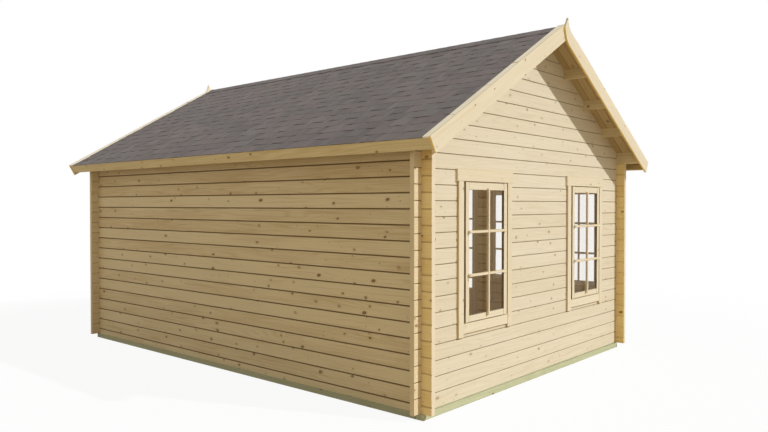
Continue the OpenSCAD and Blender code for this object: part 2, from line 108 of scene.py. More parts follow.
# ---------------------------------------------------------------- shader kit
class Net:
    """Builds the nodes of a material, a group or a world."""

    def __init__(self, tree):
        self.tree = tree

    def put(self, socket, value):
        """Links a socket to value if that is a socket, and otherwise sets it."""
        if value is None:
            return
        if isinstance(value, bpy.types.NodeSocket):
            self.tree.links.new(value, socket)
        elif isinstance(value, (tuple, list)) and len(value) == 3 and socket.type == "RGBA":
            socket.default_value = (*value, 1.0)
        else:
            socket.default_value = value

    def node(self, kind, *ins, **props):
        """A node with these properties, and its first inputs in order."""
        n = self.tree.nodes.new(kind)
        for key, value in props.items():
            setattr(n, key, value)
        for socket, value in zip(n.inputs, ins):
            self.put(socket, value)
        return n

    def add(self, kind, *ins, out=0, **props):
        """The same, but gives the node's output number out."""
        return self.node(kind, *ins, **props).outputs[out]

    def named(self, kind, sockets, **props):
        """A node whose inputs are given by name."""
        n = self.node(kind, **props)
        for key, value in sockets.items():
            self.put(n.inputs[key], value)
        return n

    def math(self, op, a, b=None, c=None, clamp=False):
        return self.add("ShaderNodeMath", a, b, c, operation=op, use_clamp=clamp)

    def mul(self, a, b):
        return self.math("MULTIPLY", a, b)

    def fma(self, a, b, c, clamp=False):
        """a times b, plus c."""
        return self.math("MULTIPLY_ADD", a, b, c, clamp)

    def sub(self, a, b):
        return self.math("SUBTRACT", a, b)

    def abs(self, a):
        return self.math("ABSOLUTE", a)

    def length(self, a, b):
        return self.math("SQRT", self.math("ADD", self.mul(a, a), self.mul(b, b)))

    def mix(self, factor, a, b):
        n = self.node("ShaderNodeMix", data_type="RGBA", blend_type="MIX", clamp_factor=True)
        for index, value in ((0, factor), (6, a), (7, b)):
            self.put(n.inputs[index], value)
        return n.outputs[2]

    def span(self, value, a, b, c=0.0, d=1.0, smooth=True):
        """Maps a..b to c..d."""
        kind = "SMOOTHSTEP" if smooth else "LINEAR"
        return self.add("ShaderNodeMapRange", value, a, b, c, d, interpolation_type=kind)

    def stretch(self, coords, factors):
        """A vector of the coordinates, each times its factor."""
        parts = [self.mul(c, k) for c, k in zip(coords, factors)]
        return self.add("ShaderNodeCombineXYZ", *parts)

    def xyz(self, vector):
        return tuple(self.node("ShaderNodeSeparateXYZ", vector).outputs)

    def place(self):
        """The point in the object, in metres."""
        return self.add("ShaderNodeTexCoord", out=3)

    def normal(self):
        """The face's own normal, as three numbers."""
        return self.xyz(self.add("ShaderNodeNewGeometry", out=3))

    def attribute(self, name):
        return self.add("ShaderNodeAttribute", out=2, attribute_name=name)

    def noise(self, vector, scale, detail=2.0, rough=0.5):
        return self.named("ShaderNodeTexNoise", {
            "Vector": vector, "Scale": scale, "Detail": detail, "Roughness": rough}).outputs[0]

    def random(self, seed):
        """A random number and a random colour for each seed."""
        n = self.named("ShaderNodeTexWhiteNoise", {"W": seed}, noise_dimensions="1D")
        return n.outputs["Value"], n.outputs["Color"]

    def cells(self, coords, factors):
        """Random points on a stretched grid: three random numbers, and how far x and y are from the point."""
        n = self.named("ShaderNodeTexVoronoi", {"Vector": self.stretch(coords, factors), "Scale": 1.0},
                       voronoi_dimensions="2D", feature="F1")
        px, py, _ = self.xyz(n.outputs["Position"])
        dx = self.sub(coords[0], self.math("DIVIDE", px, factors[0]))
        dy = self.sub(coords[1], self.math("DIVIDE", py, factors[1]))
        return self.xyz(n.outputs["Color"]), dx, dy

    def bump(self, height, strength, distance):
        return self.named("ShaderNodeBump", {
            "Strength": strength, "Distance": distance, "Height": height}).outputs[0]

    def principled(self, **sockets):
        """Principled BSDF as the surface; an underscore in a name stands for a space."""
        n = self.named("ShaderNodeBsdfPrincipled", {k.replace("_", " "): v for k, v in sockets.items()})
        self.surface(n.outputs[0])

    def surface(self, shader):
        self.named("ShaderNodeOutputMaterial", {"Surface": shader})

    def seen(self):
        """1 on rays that show or mirror this to the camera, 0 on rays that light the cabin."""
        rays = self.node("ShaderNodeLightPath").outputs
        direct = self.math("MAXIMUM", rays["Is Camera Ray"], rays["Is Glossy Ray"])
        return self.math("MAXIMUM", direct, rays["Is Transmission Ray"])


def srgb(*levels):
    """A colour given in 0 to 255 as it shows on screen."""
    def linear(level):
        c = level / 255.0
        return c / 12.92 if c <= 0.04045 else ((c + 0.055) / 1.055) ** 2.4
    return tuple(linear(level) for level in levels)


def new_material(name):
    m = bpy.data.materials.new(name)
    m.use_nodes = True
    m.node_tree.nodes.clear()
    return m, Net(m.node_tree)


# ---------------------------------------------------------------- wood
KNOT, KNOT_PALE = srgb(78, 47, 20), srgb(138, 98, 56)
GROOVE = srgb(70, 46, 18)
# The long walls' joint colour is darker and browner than the gables': painted shade in the grooves of the
# shaded walls.
JOINT_SHADED, JOINT_SUNLIT = srgb(94, 64, 14), srgb(106, 88, 40)      # log joints of the long walls and of the gables
# Golden tint for the narrow faces of the bargeboards that look down: painted bounce light.
BARGE_BOUNCE_TINT = srgb(240, 203, 98)

# Shades of wood, each a light and a dark. TAIL is a log past the crossing wall, and CUT its end.
# The gable logs get a paler, cooler copy of the wall wood and the long-wall logs a darker, warmer one:
# painted sunlight on the gable and painted shade on the long walls.
SUN = srgb(223, 212, 187), srgb(205, 189, 155)
SHADED_WOOD = srgb(216, 198, 155), srgb(183, 155, 107)
TRIM = srgb(227, 215, 187), srgb(212, 194, 158)
# The roof boards' wood is darker and browner: painted shade under the roof.
SOFFIT_SHADED = srgb(187, 163, 117), srgb(158, 130, 86)
# The cover battens' wood is near white: painted sunlight on their tops.
BATTEN_SUNLIT = srgb(244, 234, 208), srgb(230, 215, 182)
EAVES = srgb(218, 200, 152), srgb(188, 160, 106)
# Log ends past the crossing wall are tinted golden, painted bounce light. The long walls' cut ends get a
# paler copy for their sunlit faces and the gables' a darker one for their shaded faces: painted light and
# shade.
SIDE_TAIL_BOUNCE, GABLE_TAIL_BOUNCE = (srgb(238, 213, 150), srgb(220, 184, 112)), (srgb(228, 210, 172), srgb(212, 188, 140))
SIDE_CUT_SUNLIT, GABLE_CUT_SHADED = (srgb(232, 218, 190), srgb(216, 198, 162)), (srgb(219, 202, 162), srgb(194, 170, 124))
# The long beams get a darker copy of the treated wood: painted shade.
TREATED_SHADED_COPY = srgb(174, 173, 138), srgb(146, 147, 110)
TREATED_CROSS = srgb(196, 198, 162), srgb(166, 170, 130)

KNOT_GRID = (3.1, 7.4)                           # knot cells a metre along and across the grain
PIN_GRID = (7.0, 24.0)                           # the same for pin knots
WOOD_SPECULAR = 0.25
END_GRAIN = (0.80, 0.90)                         # end grain shows where the normal lies this much along it


def knots(t, along, across, amount):
    """Knots in most cells of the grid: masks of core, rim, halo and strength, the distance across
    from the knot, and the noise that roughens its outline."""
    (r0, r1, r2), dx, dy = t.cells((along, across), KNOT_GRID)
    lean = t.fma(r1, 0.7, -0.35)
    dx = t.mul(t.fma(dy, lean, dx), t.fma(r2, 0.35, 0.50))
    strength = t.fma(r1, 0.65, 0.35)
    rough = t.noise(t.stretch((along, across), (90.0, 90.0)), 1.0)
    distance = t.fma(t.sub(rough, 0.5), 0.005, t.length(dx, dy))
    radius = t.mul(t.fma(r0, 0.0195, -0.0072), amount)       # up to 12 mm, and no knot below 0
    past = t.sub(distance, radius)
    core = t.span(past, 0.0015, -0.0015)
    rim = t.mul(t.span(t.abs(past), 0.0035, 0.0), t.span(radius, 0.0, 0.002))
    halo = t.mul(t.span(past, 0.022, 0.0), t.span(radius, 0.0, 0.006))
    return core, rim, halo, strength, dy, rough


def pin_knots(t, along, across):
    """Knots of 2 to 4 mm radius in a quarter of the cells."""
    (r0, r1, _), dx, dy = t.cells((along, across), PIN_GRID)
    past = t.sub(t.length(t.mul(dx, 0.6), dy), t.fma(r1, 0.0026, 0.0016))
    return t.mul(t.mul(t.span(past, 0.0008, -0.0008), t.span(r0, 0.74, 0.76)), 0.7)


def end_rings(t, across, depth, light, dark):
    """End grain: growth rings about a pith below the board."""
    radius = t.length(t.math("ADD", across, 0.03), t.math("ADD", depth, 0.05))
    return t.mix(t.fma(t.math("SINE", t.mul(radius, 1500.0)), 0.18, 0.30), light, dark)


def timber_group():
    """Spruce: along, across and depth in metres, a seed a board, an end-grain mask.
    Gives colour, roughness and height."""
    g = bpy.data.node_groups.new("timber", "ShaderNodeTree")
    sockets = [(n, "INPUT", "Float") for n in ("Along", "Across", "Depth", "Seed", "End", "Knots", "Vary")]
    sockets += [(n, "INPUT", "Color") for n in ("Light", "Dark", "KnotCol")]
    sockets += [("Color", "OUTPUT", "Color"), ("Rough", "OUTPUT", "Float"), ("Height", "OUTPUT", "Float")]
    for name, way, kind in sockets:
        g.interface.new_socket(name, in_out=way, socket_type="NodeSocket" + kind)
    t = Net(g)
    given = t.node("NodeGroupInput").outputs
    along, across, depth, seed, end, amount, vary, light, dark, knot_colour = given[:10]
    tone, shift = t.random(seed)
    s0, s1, s2 = t.xyz(shift)
    along, across, depth = t.fma(s0, 41.0, along), t.fma(s1, 23.0, across), t.fma(s2, 9.0, depth)
    core, rim, halo, strength, knot_dy, rough = knots(t, along, across, amount)
    pin = pin_knots(t, along, across)

    # growth rings bend round the knots
    bent = t.sub(across, t.mul(t.mul(halo, 0.55), knot_dy))
    place = (along, bent, depth)
    warp = t.noise(t.stretch(place, (0.55, 7.0, 7.0)), 1.0, 2.0, 0.45)
    wave = t.math("SINE", t.fma(warp, 70.0, t.mul(bent, 260.0)))
    ring = t.math("POWER", t.fma(wave, 0.5, 0.5), 3.0)
    streak = t.noise(t.stretch(place, (1.6, 55.0, 55.0)), 1.0, 3.0, 0.6)
    fibre = t.noise(t.stretch(place, (14.0, 620.0, 620.0)), 1.0, 2.0, 0.6)
    cloud = t.noise(t.stretch((along, across, depth), (1.1, 5.0, 5.0)), 1.0)
    shade = t.mul(ring, 0.26)
    shade = t.fma(t.span(streak, 0.35, 0.75, smooth=False), 0.38, shade)
    shade = t.fma(t.sub(fibre, 0.5), 0.34, shade)
    shade = t.fma(t.mul(t.sub(cloud, 0.5), vary), 1.1, shade)
    shade = t.fma(t.mul(t.sub(tone, 0.5), vary), 0.70, shade, clamp=True)

    # knots show on the sides of a board and not on its ends
    colour = t.mix(end, t.mix(shade, light, dark), end_rings(t, across, depth, light, dark))
    side = t.sub(1.0, end)
    colour = t.mix(t.mul(t.mul(halo, 0.35), side), colour, dark)
    heart = t.mix(t.fma(rough, 1.2, -0.2, clamp=True), knot_colour, dark)
    side = t.mul(side, strength)
    colour = t.mix(t.mul(core, side), colour, heart)
    colour = t.mix(t.mul(rim, side), colour, knot_colour)
    colour = t.mix(t.mul(pin, side), colour, knot_colour)
    height = t.fma(core, 0.5, t.fma(fibre, 0.5, t.mul(ring, 0.25)))
    t.node("NodeGroupOutput", colour, t.fma(shade, 0.12, 0.55), height)
    return g


TIMBER = timber_group()


def finish_wood(t, place, seed, end, shades, amount, vary, knot, line=None, line_colour=GROOVE):
    """The timber group as a surface. place is along, across and depth. amount is how large the knots
    are, vary how much the boards differ, and line masks where line_colour goes: dark joints and
    grooves, painted bounce light on casings and painted shade on sashes."""
    wood = t.node("ShaderNodeGroup", node_tree=TIMBER)
    for socket, value in zip(wood.inputs, (*place, seed, end, amount, vary, *shades, knot)):
        t.put(socket, value)
    colour, rough, height = wood.outputs
    if line is not None:
        colour = t.mix(line, colour, line_colour)
    t.principled(Base_Color=colour, Roughness=rough, Specular_IOR_Level=WOOD_SPECULAR,
                 Normal=t.bump(height, 0.35, 0.0006))


def log_wood(name, axis, phase, salt, shades, tail, cut, joint, joint_colour, amount, vary, knot):
    """Wall logs whose grain runs along axis 0 or 1, told apart by height. phase shifts the courses, and
    salt keeps the seeds of two materials apart. joint is the joint's outer and inner edge from the bed,
    its strength, and the share that is added to its strength past the crossing wall."""
    m, t = new_material(name)
    x, y, z = t.xyz(t.place())
    along, depth = (x, y) if axis == 0 else (y, x)
    reach, wall = (HW, HL) if axis == 0 else (HL, HW)
    course = t.fma(t.sub(z, Z0), 1.0 / LOG, phase)
    number = t.math("FLOOR", course)
    part = t.sub(course, number)
    seed = t.fma(t.math("SIGN", depth), 57.3, t.math("ADD", number, salt))
    end = t.span(t.abs(t.normal()[axis]), *END_GRAIN)
    past = t.span(t.abs(along), reach, reach + 0.004)
    inside = t.span(t.abs(depth), wall - 0.02, wall - 0.03)
    outer, inner, strength, past_factor = joint
    bed = t.mul(t.math("MINIMUM", part, t.sub(1.0, part)), LOG)
    line = t.mul(t.span(bed, outer, inner), strength)
    for mask, factor in ((past, past_factor), (end, -0.9), (inside, -0.55)):
        line = t.mul(line, t.fma(mask, factor, 1.0))
    # Past the crossing wall the golden tail colours give painted bounce light, and the cut colours on the
    # ends give painted light and shade.
    shades = [t.mix(end, t.mix(past, shades[i], tail[i]), cut[i]) for i in (0, 1)]
    finish_wood(t, (along, z, depth), seed, end, shades, amount, vary, knot, line, joint_colour)
    return m


def plain_wood(name, axis, salt, shades, amount=1.0, vary=0.5):
    """Wood whose grain runs along axis 0, 1 or 2."""
    m, t = new_material(name)
    point = t.xyz(t.place())
    across, depth = ((2, 1), (2, 0), (0, 1))[axis]
    across, depth = point[across], point[depth]
    seed = t.fma(t.math("SIGN", depth), 9.3, t.fma(t.math("SIGN", point[0]), 3.7, salt))
    end = t.span(t.abs(t.normal()[axis]), *END_GRAIN)
    finish_wood(t, (point[axis], across, depth), seed, end, shades, amount, vary, KNOT)
    return m


def slope_wood(name, salt, shades, amount, rim=0.0):
    """Wood whose grain runs down a roof slope; rim sets how much the narrow faces that look down are tinted
    golden, painted bounce light.
    """
    m, t = new_material(name)
    x, y, z = t.xyz(t.place())
    nx, ny, nz = t.normal()
    side = t.math("SIGN", x)
    along = t.sub(t.mul(t.abs(x), CT), t.mul(z, ST))
    across = t.math("ADD", t.mul(t.abs(x), ST), t.mul(z, CT))
    seed = t.fma(side, 13.7, t.fma(t.math("SIGN", y), 5.1, salt))
    down = t.sub(t.mul(t.mul(nx, side), CT), t.mul(nz, ST))
    end = t.span(t.abs(down), *END_GRAIN)
    if rim:
        # The narrow faces that look down take a golden tint: painted bounce light from the ground.
        narrow = t.mul(t.span(t.abs(ny), 0.6, 0.3), t.span(nz, 0.4, 0.2, 0.0, rim))
        shades = [t.mix(narrow, shade, BARGE_BOUNCE_TINT) for shade in shades]
    finish_wood(t, (along, across, y), seed, end, shades, amount, 0.4, KNOT_PALE)
    return m


def board_wood(name, shades, amount, vary, knot, groove_and_painted_light, groove_and_painted_light_colour=GROOVE):
    """Wood for pieces made here: UV along and across the grain, seed, end and edge as attributes."""
    m, t = new_material(name)
    u, v, _ = t.xyz(t.add("ShaderNodeUVMap", uv_map="grain"))
    # The edge mask takes the edge colour: dark joints on roof boards and floor planks, painted bounce light
    # on casings, bars and leaves, and painted shade on sashes.
    line = t.mul(t.attribute("edge"), groove_and_painted_light)
    finish_wood(t, (u, v, 0.0), t.attribute("seed"), t.attribute("end"), shades, amount, vary, knot,
                line, groove_and_painted_light_colour)
    return m


def joinery_wood(name, groove_and_painted_light, groove_and_painted_light_colour):
    """Pale, nearly knotless wood for casings, sashes and leaves."""
    return board_wood(name, TRIM, 0.50, 0.4, KNOT_PALE, groove_and_painted_light, groove_and_painted_light_colour)


# ---------------------------------------------------------------- other materials
def shingle_material():
    """Mineral grit on bitumen, with a tone and a hue a tab."""
    m, t = new_material("shingle")
    place = t.place()
    tone, colour = t.random(t.attribute("seed"))
    hue = t.xyz(colour)[1]
    grit = t.noise(place, 420.0, 2.0, 0.7)
    speck = t.noise(place, 1500.0, 1.0)
    patch = t.noise(place, 6.0, 3.0, 0.6)
    c = t.mix(tone, srgb(98, 90, 88), srgb(126, 117, 113))
    c = t.mix(t.span(hue, 0.5, 1.0, 0.0, 0.6), c, srgb(120, 106, 106))
    c = t.mix(t.span(hue, 0.5, 0.0, 0.0, 0.4), c, srgb(110, 109, 106))
    c = t.mix(t.span(patch, 0.4, 0.7, 0.0, 0.35), c, srgb(98, 93, 94))
    c = t.mix(t.span(grit, 0.42, 0.62, 0.0, 0.55), c, srgb(68, 63, 61))
    c = t.mix(t.span(speck, 0.56, 0.70, 0.0, 0.55), c, srgb(168, 160, 152))
    height = t.math("ADD", grit, t.mul(speck, 0.6))
    t.principled(Base_Color=c, Roughness=0.80, Specular_IOR_Level=0.38, Normal=t.bump(height, 0.6, 0.0012))
    return m


def glass_material():
    """Clear sheet that mirrors more at a slant. Light passes straight through it."""
    m, t = new_material("window_glass")
    place = t.place()
    clear = t.add("ShaderNodeBsdfTransparent", (0.975, 0.97, 0.965, 1.0))
    shine = t.named("ShaderNodeBsdfGlossy", {
        "Color": (1.0, 1.0, 1.0, 1.0),
        "Roughness": t.span(t.noise(place, 9.0, 3.0), 0.3, 0.7, 0.015, 0.045),
        "Normal": t.bump(t.noise(place, 3.0, 1.0), 0.05, 0.001)})
    slant = t.named("ShaderNodeLayerWeight", {"Blend": 0.5}).outputs["Facing"]
    share = t.fma(t.math("POWER", slant, 4.0), 0.25, 0.004)
    t.surface(t.add("ShaderNodeMixShader", share, clear, shine.outputs[0]))
    return m


def steel_material():
    """Zinc-plated steel."""
    m, t = new_material("zinc_steel")
    n = t.noise(t.place(), 60.0, 4.0, 0.6)
    t.principled(Base_Color=t.mix(n, srgb(170, 172, 172), srgb(205, 206, 205)), Metallic=1.0,
                 Roughness=t.span(n, 0.3, 0.7, 0.32, 0.5))
    return m


# ---------------------------------------------------------------- boards
CORNERS = list(itertools.product((-1, 1), repeat=3))
FACE_ON = 0.8                                    # share of a normal along an axis that counts as facing it


def corner(*pairs):
    """The corner with this sign on each axis, from pairs of axis and sign."""
    return tuple(sign for _, sign in sorted(pairs))


class Boards:
    """Bevelled boards gathered into one mesh, with grain UVs and a seed a board."""

    def __init__(self):
        self.points, self.faces, self.uv = [], [], []
        self.seed, self.end, self.edge = [], [], []

    def box(self, low, high, axes, grain, bevel, seed, origin=(0, 0, 0)):
        """A board between two corners, given along three unit axes from origin. Its grain runs along
        axis number grain."""
        middle = Vector(origin)
        for axis, a, b in zip(axes, low, high):
            middle = middle + axis * ((a + b) / 2)
        half = [abs(b - a) / 2 for a, b in zip(low, high)]
        bevel = min([bevel] + [0.9 * h for h in half])
        ids = {}
        for signs in CORNERS:
            for k in range(3):                   # each corner has a point on each of its three sides
                point = Vector((0, 0, 0))
                for i in range(3):
                    point += axes[i] * signs[i] * (half[i] if i == k else half[i] - bevel)
                ids[signs, k] = len(self.points)
                self.points.append(middle + point)

        def face(keys, normal, edge=0.0):
            self._face([ids[key] for key in keys], normal, edge, seed, middle, half, axes, grain)

        for k in range(3):
            i, j = [a for a in range(3) if a != k]
            for sk in (-1, 1):
                ring = ((-1, -1), (1, -1), (1, 1), (-1, 1))
                face([(corner((i, si), (j, sj), (k, sk)), k) for si, sj in ring], axes[k] * sk)
        for k in range(3):
            i, j = [a for a in range(3) if a != k]
            for si, sj in itertools.product((-1, 1), repeat=2):
                ring = ((-1, i), (1, i), (1, j), (-1, j))
                face([(corner((i, si), (j, sj), (k, sk)), side) for sk, side in ring],
                     axes[i] * si + axes[j] * sj, 1.0 if k == grain else 0.0)
        for signs in CORNERS:
            face([(signs, k) for k in range(3)], sum((a * s for a, s in zip(axes, signs)), Vector((0, 0, 0))))

    def _face(self, ids, normal, edge, seed, middle, half, axes, grain):
        """One face that looks along normal. edge is how much it takes the material's edge colour: 1 on a
        bevel along the grain, and less on a narrow side. That colour is a dark joint on roof boards and
        floor planks, painted bounce light on casings and bars, and painted shade on sashes."""
        points = [self.points[i] for i in ids]
        if (points[1] - points[0]).cross(points[2] - points[0]).dot(normal) < 0:
            ids.reverse()
            points.reverse()
        facing = [abs(normal.normalized().dot(axis)) for axis in axes]
        is_end = facing[grain] > FACE_ON
        a, b = [i for i in range(3) if i != grain]
        wide, narrow = (a, b) if half[a] > half[b] else (b, a)
        if facing[wide] > FACE_ON and half[wide] > 1.8 * half[narrow]:
            edge = 0.6
        for point in points:
            at = [(point - middle).dot(axis) for axis in axes]
            if is_end:
                self.uv.append((at[a], at[b]))
            elif facing[b] >= facing[a]:
                self.uv.append((at[grain], at[a]))
            else:
                self.uv.append((at[grain], at[b] + 0.31))
        self.faces.append(ids)
        self.seed.append(seed)
        self.end.append(1.0 if is_end else 0.0)
        self.edge.append(edge)

    def make(self, name, material, body, slot, nodes=()):
        """The piece, which rides on body and stands for nodes."""
        mesh = bpy.data.meshes.new(name)
        mesh.from_pydata([tuple(p) for p in self.points], [], self.faces)
        uv = mesh.uv_layers.new(name="grain")
        uv.data.foreach_set("uv", [x for p in self.uv for x in p])
        for key in ("seed", "end", "edge"):
            values = mesh.attributes.new(key, "FLOAT", "FACE")
            values.data.foreach_set("value", getattr(self, key))
        mesh.materials.append(material)
        mesh.update()
        piece = bpy.data.objects.new(name, mesh)
        bpy.context.scene.collection.objects.link(piece)
        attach(piece, body)
        if nodes:
            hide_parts(*nodes)


# ---------------------------------------------------------------- nodes that stay as they are
def paint(material, *names):
    """Gives these nodes the material."""
    for name in names:
        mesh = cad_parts[name].data
        mesh.materials.clear()
        mesh.materials.append(material)


def paint_nodes(glass, steel):
    """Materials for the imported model's own nodes. Those of nodes that are replaced don't matter."""
    # Gable logs: the paler copy of the wood and pale, narrow joints, painted sunlight. Long-wall logs: the
    # darker copy and dark, wide joints, painted shade.
    gable = log_wood("gable_logs", 0, 0.0, 11.0, SUN, GABLE_TAIL_BOUNCE, GABLE_CUT_SHADED, (0.0050, 0.0015, 0.80, 0.0),
                     JOINT_SUNLIT, 0.85, 0.35, KNOT_PALE)
    side = log_wood("side_logs", 1, 0.5, 101.0, SHADED_WOOD, SIDE_TAIL_BOUNCE, SIDE_CUT_SUNLIT, (0.0080, 0.0045, 0.85, -0.65),
                    JOINT_SHADED, 1.05, 0.75, KNOT)
    for letter in "ab":
        paint(gable, "window_gable_logs_" + letter, "plain_gable_logs_" + letter)
        paint(side, "back_wall_logs_" + letter, "front_wall_logs_" + letter)
    paint(plain_wood("eaves_log", 1, 3.0, SHADED_WOOD), "back_eaves_log", "front_eaves_log")
    paint(plain_wood("purlin_wood", 1, 23.0, SHADED_WOOD), "ridge_purlin", "back_purlins", "front_purlins")
    # The bargeboards' narrow faces that look down are tinted golden, painted bounce light.
    barge = slope_wood("barge_wood", 31.0, TRIM, 0.8, 0.8)
    for gable_name in ("window_gable", "plain_gable"):
        paint(barge, gable_name + "_back_barge", gable_name + "_front_barge")
    # The battens take the near-white wood, painted sunlight.
    paint(slope_wood("batten_wood", 37.0, BATTEN_SUNLIT, 0.7), "back_battens", "front_battens")
    paint(plain_wood("fascia_wood", 1, 43.0, EAVES), "fascia_boards")
    # The long beams take the darker copy of the treated wood, painted shade.
    paint(plain_wood("treated_long_shaded", 1, 61.0, TREATED_SHADED_COPY, 0.8), "long_beams")
    paint(plain_wood("treated_cross", 0, 67.0, TREATED_CROSS, 0.8), "gable_beams", "floor_joists")
    paint(plain_wood("upright_wood", 2, 53.0, SHADED_WOOD, 0.5), "door_jambs", "window_linings")
    paint(plain_wood("cross_wood", 1, 57.0, SHADED_WOOD, 0.5), "door_head", "door_threshold")
    paint(glass, "window_glass", "near_leaf_glass", "far_leaf_glass")
    paint(steel, "door_frame_hinges", "near_leaf_hinges", "far_leaf_hinges", "door_handle")


# ---------------------------------------------------------------- roof
def slope(sign):
    """Unit axes of a slope: down it, along the ridge, out of the roof."""
    return Vector((sign * CT, 0, -ST)), Vector((0, 1, 0)), Vector((sign * ST, 0, CT))


def slope_ends(sign):
    """Ends of a slope along the ridge. One meets an outer bargeboard, and one an inner."""
    return (-HL - OV_LONG, HL + OV_SHORT) if sign > 0 else (-HL - OV_SHORT, HL + OV_LONG)


def roof_boards(sign, word, material):
    """Boards side by side from the ridge to the eaves."""
    y0, y1 = slope_ends(sign)
    count = round((y1 - y0) / BOARD_PITCH)
    width = (y1 - y0) / count
    boards = Boards()
    for i in range(count):
        y = y0 + i * width
        boards.box((BOARD_START, y + BOARD_GAP, 0.0), (S_BOARDS, y + width - BOARD_GAP, N_BOARD), slope(sign),
                   0, BOARD_BEVEL, ROOF_SEED + i + 300 * sign, (0, 0, ZR))
    boards.make(word + "_sarking", material, "cabin", "roof_wood", (word + "_roof_boards",))


def shingle_course(boards, sign, y0, y1, top, foot, rng):
    """One course: base strips end to end, and thicker tabs of mixed width and spacing on them."""
    down, along, out = slope(sign)
    tilted = (down + out * (COURSE_RISE / (GAUGE + COURSE_LAP))).normalized()
    face = tilted.cross(along)
    if face.dot(out) < 0:
        face = -face
    axes = (tilted, along, face)
    ridge = Vector((0, 0, ZR))
    play = 0.0001
    y = y0
    while y < y1 - play:
        end = min(y1, y + rng.uniform(*BASE_WIDTHS))
        if y1 - end < 0.08:                      # no sliver is left at the end
            end = y1
        origin = ridge + down * top + out * (N_SHINGLE + play)
        boards.box((0.0, y, 0.0), (foot - top, end, BASE), axes, 1, STRIP_BEVEL, rng.random() * 900, origin)
        y = end
    length = foot - top - COURSE_LAP + 0.0005
    y = y0 + rng.uniform(-0.05, 0.12)
    while y < y1:
        width = rng.choice(TAB_WIDTHS) * rng.uniform(0.85, 1.15)
        start, end = max(y, y0), min(y + width, y1)
        if end - start > 0.03:
            origin = ridge + down * (top + COURSE_LAP) + out * (N_SHINGLE + play + BASE)
            boards.box((0.0, start, 0.0), (length, end, TAB), axes, 1, TAB_BEVEL, rng.random() * 900, origin)
        y += width + rng.choice(TAB_SPACES) * rng.uniform(0.8, 1.2)


def shingles(sign, word, material, rng):
    """An underlay with courses of shingles on it, from the eaves up."""
    y0, y1 = slope_ends(sign)
    boards = Boards()
    boards.box((SHINGLE_START, y0, N_BOARD + 0.0002), (S_BOARDS - 0.0002, y1, N_SHINGLE), slope(sign), 1,
               STRIP_BEVEL, 1.0, (0, 0, ZR))
    edge = S_FASCIA + SHINGLE_START
    for row in range(int(edge / GAUGE) + 1):
        foot = edge - row * GAUGE
        top = max(foot - GAUGE - COURSE_LAP, SHINGLE_START)
        if foot >= 0.03:                         # the ridge caps cover the rest
            shingle_course(boards, sign, y0 + SHINGLE_SIDE, y1 - SHINGLE_SIDE, top, foot, rng)
    boards.make(word + "_shingle_tabs", material, "cabin", "shingle", (word + "_shingles",))


def ridge_caps(material, rng):
    """Short caps lapped along the ridge."""
    half = HL + OV_SHORT - BATTEN
    count = round(2 * half / CAP_PITCH)
    pitch = 2 * half / count
    boards = Boards()
    for i in range(count):
        seed = rng.random() * 900
        for sign in (1, -1):
            down, along, out = slope(sign)
            lapped = (along * pitch + out * CAP_RISE).normalized()
            face = (out - lapped * out.dot(lapped)).normalized()
            origin = Vector((0, 0, ZR)) + out * (N_SHINGLE + CAP_LIFT) + along * (-half + i * pitch)
            boards.box((0.0, 0.0, 0.0), (CAP_WING, pitch, TAB), (down, lapped, face), 0, CAP_BEVEL, seed,
                       origin)
    boards.make("ridge_caps", material, "cabin", "shingle", ("ridge_shingles",))


# ---------------------------------------------------------------- windows
def window_casing(boards, low, high, origin, axes, seed):
    """Side, head and lower boards round a sash that reaches from low to high."""
    gap = 0.0006
    inner = SASH_HALF + GAP_SIDE
    outer = inner + CASING
    top, foot = high + GAP_Z, low - GAP_Z - APRON - LEG
    for side in (-1, 1):
        a, b = sorted((side * inner, side * outer))
        boards.box((a, -CASING_DEPTH, foot), (b, 0, top - gap), axes, 2, TRIM_BEVEL, seed + 1 + side, origin)
    boards.box((-outer - HEADER_EAR, -CASING_DEPTH, top), (outer + HEADER_EAR, 0, top + HEADER), axes, 0,
               TRIM_BEVEL, seed + 3, origin)
    boards.box((-inner + gap, -CASING_DEPTH + 0.001, foot + LEG), (inner - gap, 0, low - GAP_Z), axes, 0,
               TRIM_BEVEL, seed + 4, origin)


def window_sash(boards, low, high, origin, axes, seed):
    """Two stiles with a rail between them at the head and the foot."""
    gap = 0.0003
    inner = SASH_HALF - STILE
    for side in (-1, 1):
        a, b = sorted((side * inner, side * SASH_HALF))
        boards.box((a, SASH_OUT, low), (b, SASH_IN, high), axes, 2, TRIM_BEVEL, seed + 6 + side, origin)
    for k, (foot, head) in enumerate(((high - RAIL_TOP, high), (low, low + RAIL_LOW))):
        boards.box((-inner + gap, SASH_OUT, foot), (inner - gap, SASH_IN, head), axes, 0, TRIM_BEVEL,
                   seed + 8 + k, origin)


def window_bars(boards, low, high, origin, axes, seed):
    """A grid laid on the sash's face, its ends over the rails and stiles."""
    foot, head = low + RAIL_LOW, high - RAIL_TOP
    front, back = SASH_OUT - BAR_REACH, SASH_OUT - 0.0002
    over_low, over_top, over_side = SASH_BAR_OVERLAP
    boards.box((-BAR, front, foot - over_low), (BAR, back, head + over_top), axes, 2, BAR_BEVEL, seed + 11,
               origin)
    for k, share in enumerate(SASH_BAR_ROWS):
        z = foot + (head - foot) * share
        for side in (-1, 1):
            a, b = sorted((side * (BAR + BAR_GAP), side * (SASH_HALF - STILE + over_side)))
            boards.box((a, front, z - BAR), (b, back, z + BAR), axes, 0, BAR_BEVEL, seed + 12 + k, origin)


